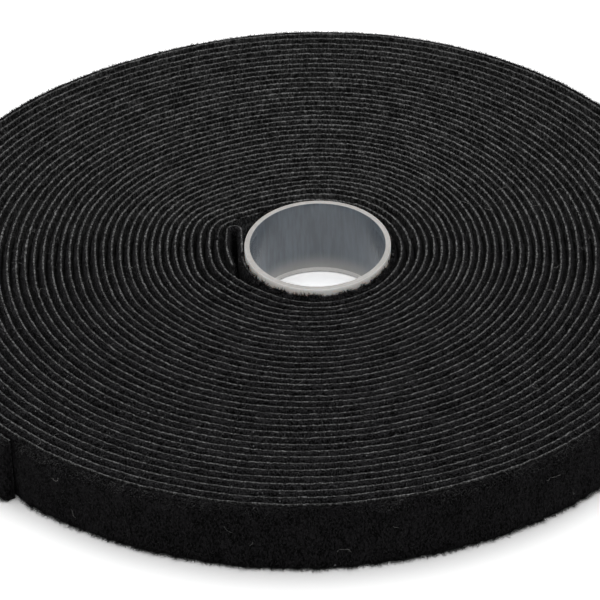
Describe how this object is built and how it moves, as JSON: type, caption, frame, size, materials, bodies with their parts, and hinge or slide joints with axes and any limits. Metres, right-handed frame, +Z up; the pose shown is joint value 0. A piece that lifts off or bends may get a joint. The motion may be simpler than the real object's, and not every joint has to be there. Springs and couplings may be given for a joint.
{
  "type": "hook and loop tape roll",
  "caption": "Flat roll of black back-to-back hook and loop tape, wound over a folded start on a natural plastic core, with a free end that peels off the outside",
  "frame": {"origin": "on the surface that the roll lies on, under the middle of its outline", "axes": "+Z up, along the core; +X to the right and -Y towards the viewer of the picture"},
  "size_m": [0.2188, 0.2152, 0.024],
  "materials": {
    "core_plastic": "natural unpigmented plastic tube, slightly see-through, satin, with faint draw lines",
    "tape": "black brushed loop pile outside, paler film edge, moulded hooks inside"
  },
  "bodies": {
    "roll": {"inner_turns": "tape", "outer_turns": "tape"},
    "core": {"core": "core_plastic"},
    "free_end_root": {"free_end_root": "tape"},
    "free_end_middle": {"free_end_middle": "tape"},
    "free_end_tip": {"free_end_tip": "tape"}
  },
  "joints": [
    {"name": "core_slide", "type": "slide", "parent": "roll", "child": "core", "axis": [0, 0, 1], "range_m": [0, 0.02]},
    {"name": "peel_root", "type": "hinge", "parent": "roll", "child": "free_end_root", "pos_m": [-0.10937, 0.00476, 0.01], "axis": [0, 0, -1], "range_deg": [0, 30]},
    {"name": "peel_middle", "type": "hinge", "parent": "free_end_root", "child": "free_end_middle", "pos_m": [-0.10527, -0.029, 0.01], "axis": [0, 0, -1], "range_deg": [0, 30]},
    {"name": "peel_tip", "type": "hinge", "parent": "free_end_middle", "child": "free_end_tip", "pos_m": [-0.09558, -0.05267, 0.01], "axis": [0, 0, -1], "range_deg": [0, 30]}
  ],
  "couplings": [
    {"joint": "peel_middle", "follows": "peel_root", "ratio": 1},
    {"joint": "peel_tip", "follows": "peel_root", "ratio": 1}
  ]
}
